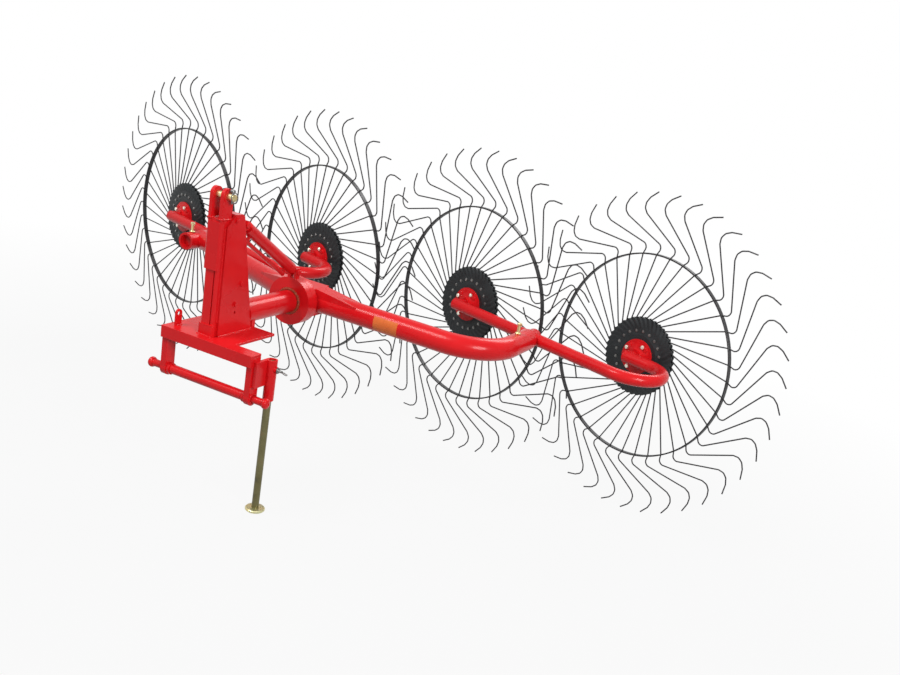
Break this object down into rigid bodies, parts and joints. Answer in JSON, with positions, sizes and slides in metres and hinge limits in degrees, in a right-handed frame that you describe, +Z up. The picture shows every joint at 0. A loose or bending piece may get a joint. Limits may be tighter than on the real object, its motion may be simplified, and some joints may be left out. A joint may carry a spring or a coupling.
{
  "type": "rotary hay rake",
  "caption": "Mounted rotary hay rake: three-point headstock on a parking stand, a rolling boom with rocking hooked arms, and freely turning tined wheels set at a skew.",
  "frame": {"origin": "middle of the stand foot's underside, on the ground", "axes": "+X to the right seen from the front, along the row of wheels; +Y to the rear, away from the tractor; +Z up"},
  "size_m": [3.729, 1.5386, 1.3635],
  "materials": {
    "red_paint": "gloss red enamel",
    "black_disc": "black paint",
    "black_wire": "black spring steel",
    "yellow_zinc": "yellow zinc plate"
  },
  "bodies": {
    "headstock": {"mast_post": "red_paint", "mast_sides": "red_paint", "mast_back": "red_paint", "top_clevis": "red_paint", "top_link_pin": "yellow_zinc", "linch_pin": "yellow_zinc", "base_channel": "red_paint", "hitch_legs": "red_paint", "hitch_bar": "red_paint", "stand_sleeve": "red_paint", "stand_lock_pin": "yellow_zinc", "eye_bracket": "red_paint", "pivot_tube": "red_paint", "tube_saddle": "red_paint", "brace_strut": "red_paint", "brace_bolts": "yellow_zinc"},
    "stand": {"stand_leg": "yellow_zinc", "stand_foot": "yellow_zinc"},
    "boom": {"boom_flange": "red_paint", "boom_block": "red_paint", "boom_left": "red_paint", "boom_right": "red_paint", "pivot_lock_pins": "yellow_zinc"},
    "rocker_front": {"rocker_front_arm": "red_paint", "rocker_front_bend": "red_paint", "rocker_front_end": "red_paint"},
    "rocker_rear": {"rocker_rear_arm": "red_paint", "rocker_rear_bend": "red_paint", "rocker_rear_end": "red_paint"},
    "wheel_1": {"wheel_1_hub": "red_paint", "wheel_1_discs": "black_disc", "wheel_1_tines": "black_wire"},
    "wheel_2": {"wheel_2_hub": "red_paint", "wheel_2_discs": "black_disc", "wheel_2_tines": "black_wire"},
    "wheel_3": {"wheel_3_hub": "red_paint", "wheel_3_discs": "black_disc", "wheel_3_tines": "black_wire"},
    "wheel_4": {"wheel_4_hub": "red_paint", "wheel_4_discs": "black_disc", "wheel_4_tines": "black_wire"}
  },
  "joints": [
    {"name": "stand_slide", "type": "slide", "parent": "headstock", "child": "stand", "axis": [0, 0, 1], "range_m": [0, 0.3]},
    {"name": "boom_roll", "type": "hinge", "parent": "headstock", "child": "boom", "pos_m": [-0.26, 0.56, 0.682], "axis": [0, 1, 0], "range_deg": [-8, 8]},
    {"name": "rocker_front_pivot", "type": "hinge", "parent": "boom", "child": "rocker_front", "pos_m": [-1.08869, 1.00578, 0.682], "axis": [0, 1, 0], "range_deg": [-10, 10]},
    {"name": "rocker_rear_pivot", "type": "hinge", "parent": "boom", "child": "rocker_rear", "pos_m": [0.58645, 0.98909, 0.682], "axis": [0, 1, 0], "range_deg": [-10, 10]},
    {"name": "wheel_1_spin", "type": "hinge", "parent": "rocker_front", "child": "wheel_1", "pos_m": [-1.44071, 1.21, 0.682], "axis": [0.3338, 0.9426, 0], "continuous": true},
    {"name": "wheel_2_spin", "type": "hinge", "parent": "rocker_front", "child": "wheel_2", "pos_m": [-0.62671, 1.21, 0.682], "axis": [0.3338, 0.9426, 0], "continuous": true},
    {"name": "wheel_3_spin", "type": "hinge", "parent": "rocker_rear", "child": "wheel_3", "pos_m": [0.18729, 1.21, 0.682], "axis": [0.3338, 0.9426, 0], "continuous": true},
    {"name": "wheel_4_spin", "type": "hinge", "parent": "rocker_rear", "child": "wheel_4", "pos_m": [1.00129, 1.21, 0.682], "axis": [0.3338, 0.9426, 0], "continuous": true}
  ]
}
